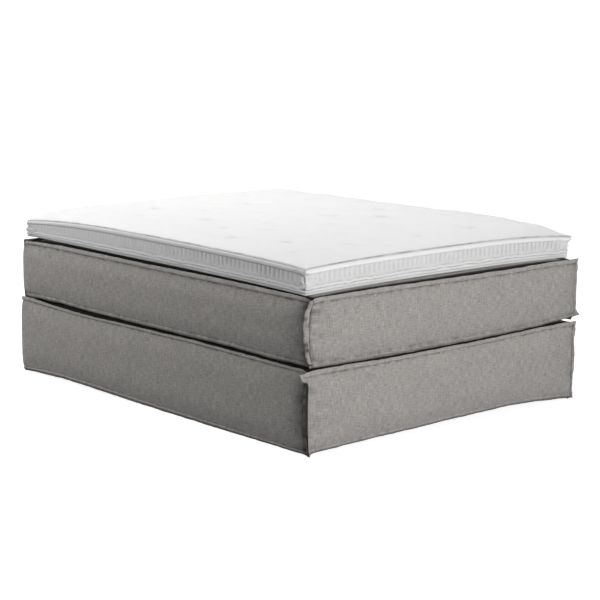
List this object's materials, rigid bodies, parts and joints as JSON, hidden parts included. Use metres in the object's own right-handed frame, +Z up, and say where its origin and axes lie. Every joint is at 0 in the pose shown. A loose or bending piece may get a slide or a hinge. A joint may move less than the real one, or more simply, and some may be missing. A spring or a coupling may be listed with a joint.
{
  "type": "box spring bed",
  "caption": "Box spring bed: a low sprung base and a mattress in grey linen-look covers with flanged seams, under a loose white tufted topper.",
  "frame": {"origin": "on the floor, at the centre of the bed's footprint", "axes": "+Z up, -Y towards the foot end, +X towards the right long side seen from the foot end"},
  "size_m": [1.6, 2, 0.7741],
  "materials": {
    "grey_linen": "coarse plain weave with slubs, matt, mottled warm and cool grey",
    "white_knit": "fine stretch knit, matt white",
    "ribbed_mesh": "ribbed spacer mesh between plain edges, matt white",
    "spruce": "sawn and planed softwood, untreated",
    "hardboard": "smooth brown fibre board",
    "foam": "open-cell cream foam, matt",
    "needle_felt": "grey needled felt, matt",
    "spring_pockets": "white non-woven pockets round steel springs, matt",
    "dust_lining": "thin black non-woven lining, matt",
    "black_plastic": "moulded black plastic, satin"
  },
  "bodies": {
    "base": {"base_cover_foot": "grey_linen", "base_cover_head": "grey_linen", "base_cover_left": "grey_linen", "base_cover_right": "grey_linen", "base_cover_top": "grey_linen", "base_felt": "needle_felt", "base_foam": "foam", "base_spring_unit": "spring_pockets", "batten_left": "spruce", "batten_right": "spruce", "centre_beam": "spruce", "corner_block_foot_left": "spruce", "corner_block_foot_right": "spruce", "corner_block_head_left": "spruce", "corner_block_head_right": "spruce", "deck_board": "hardboard", "dust_cover": "dust_lining", "foot_rail": "spruce", "glide_centre": "black_plastic", "glide_foot_left": "black_plastic", "glide_foot_right": "black_plastic", "glide_head_left": "black_plastic", "glide_head_right": "black_plastic", "head_rail": "spruce", "side_rail_left": "spruce", "side_rail_right": "spruce", "slat_1": "spruce", "slat_2": "spruce", "slat_3": "spruce", "slat_4": "spruce", "slat_5": "spruce"},
    "mattress": {"edge_foam_foot": "foam", "edge_foam_head": "foam", "edge_foam_left": "foam", "edge_foam_right": "foam", "lower_comfort_foam": "foam", "lower_felt": "needle_felt", "mattress_cover_bottom": "grey_linen", "mattress_cover_foot": "grey_linen", "mattress_cover_head": "grey_linen", "mattress_cover_left": "grey_linen", "mattress_cover_right": "grey_linen", "mattress_cover_top": "grey_linen", "spring_zone_1": "spring_pockets", "spring_zone_2": "spring_pockets", "spring_zone_3": "spring_pockets", "spring_zone_4": "spring_pockets", "spring_zone_5": "spring_pockets", "spring_zone_6": "spring_pockets", "spring_zone_7": "spring_pockets", "upper_comfort_foam": "foam", "upper_felt": "needle_felt"},
    "topper": {"topper_border_foot": "ribbed_mesh", "topper_border_head": "ribbed_mesh", "topper_border_left": "ribbed_mesh", "topper_border_right": "ribbed_mesh", "topper_core": "foam", "topper_cover_bottom": "white_knit", "topper_cover_top": "white_knit"}
  },
  "joints": [
    {"name": "mattress_lift", "type": "slide", "parent": "base", "child": "mattress", "axis": [0, 0, 1], "range_m": [0, 0.3]},
    {"name": "topper_lift", "type": "slide", "parent": "mattress", "child": "topper", "axis": [0, 0, 1], "range_m": [0, 0.2]}
  ]
}
